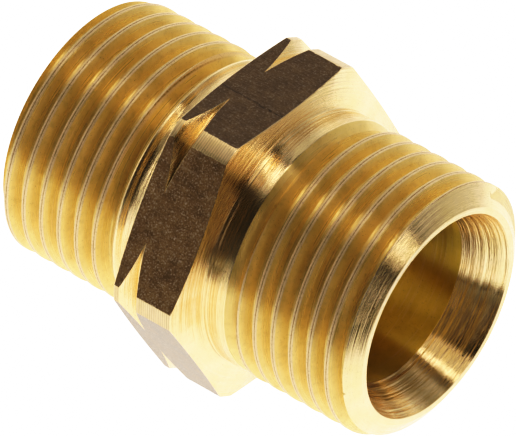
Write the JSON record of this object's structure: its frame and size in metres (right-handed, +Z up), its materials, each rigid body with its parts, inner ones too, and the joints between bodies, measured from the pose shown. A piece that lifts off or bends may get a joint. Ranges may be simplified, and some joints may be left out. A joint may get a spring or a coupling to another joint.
{
  "type": "hex nipple",
  "caption": "Hexagonal double male union for pipe: a threaded end each side of a spanner hexagon, a straight through bore and cone seats at both mouths; one thread is left-hand.",
  "frame": {"origin": "middle of the bore, which is also the middle of the hexagon", "axes": "+X along the bore towards the end with the right-hand thread, +Z up, square to the hexagon flat that the part lies on"},
  "size_m": [0.027, 0.0212, 0.019],
  "materials": {
    "brass": "satin"
  },
  "bodies": {
    "root": {"nipple_body": "brass"}
  },
  "joints": []
}
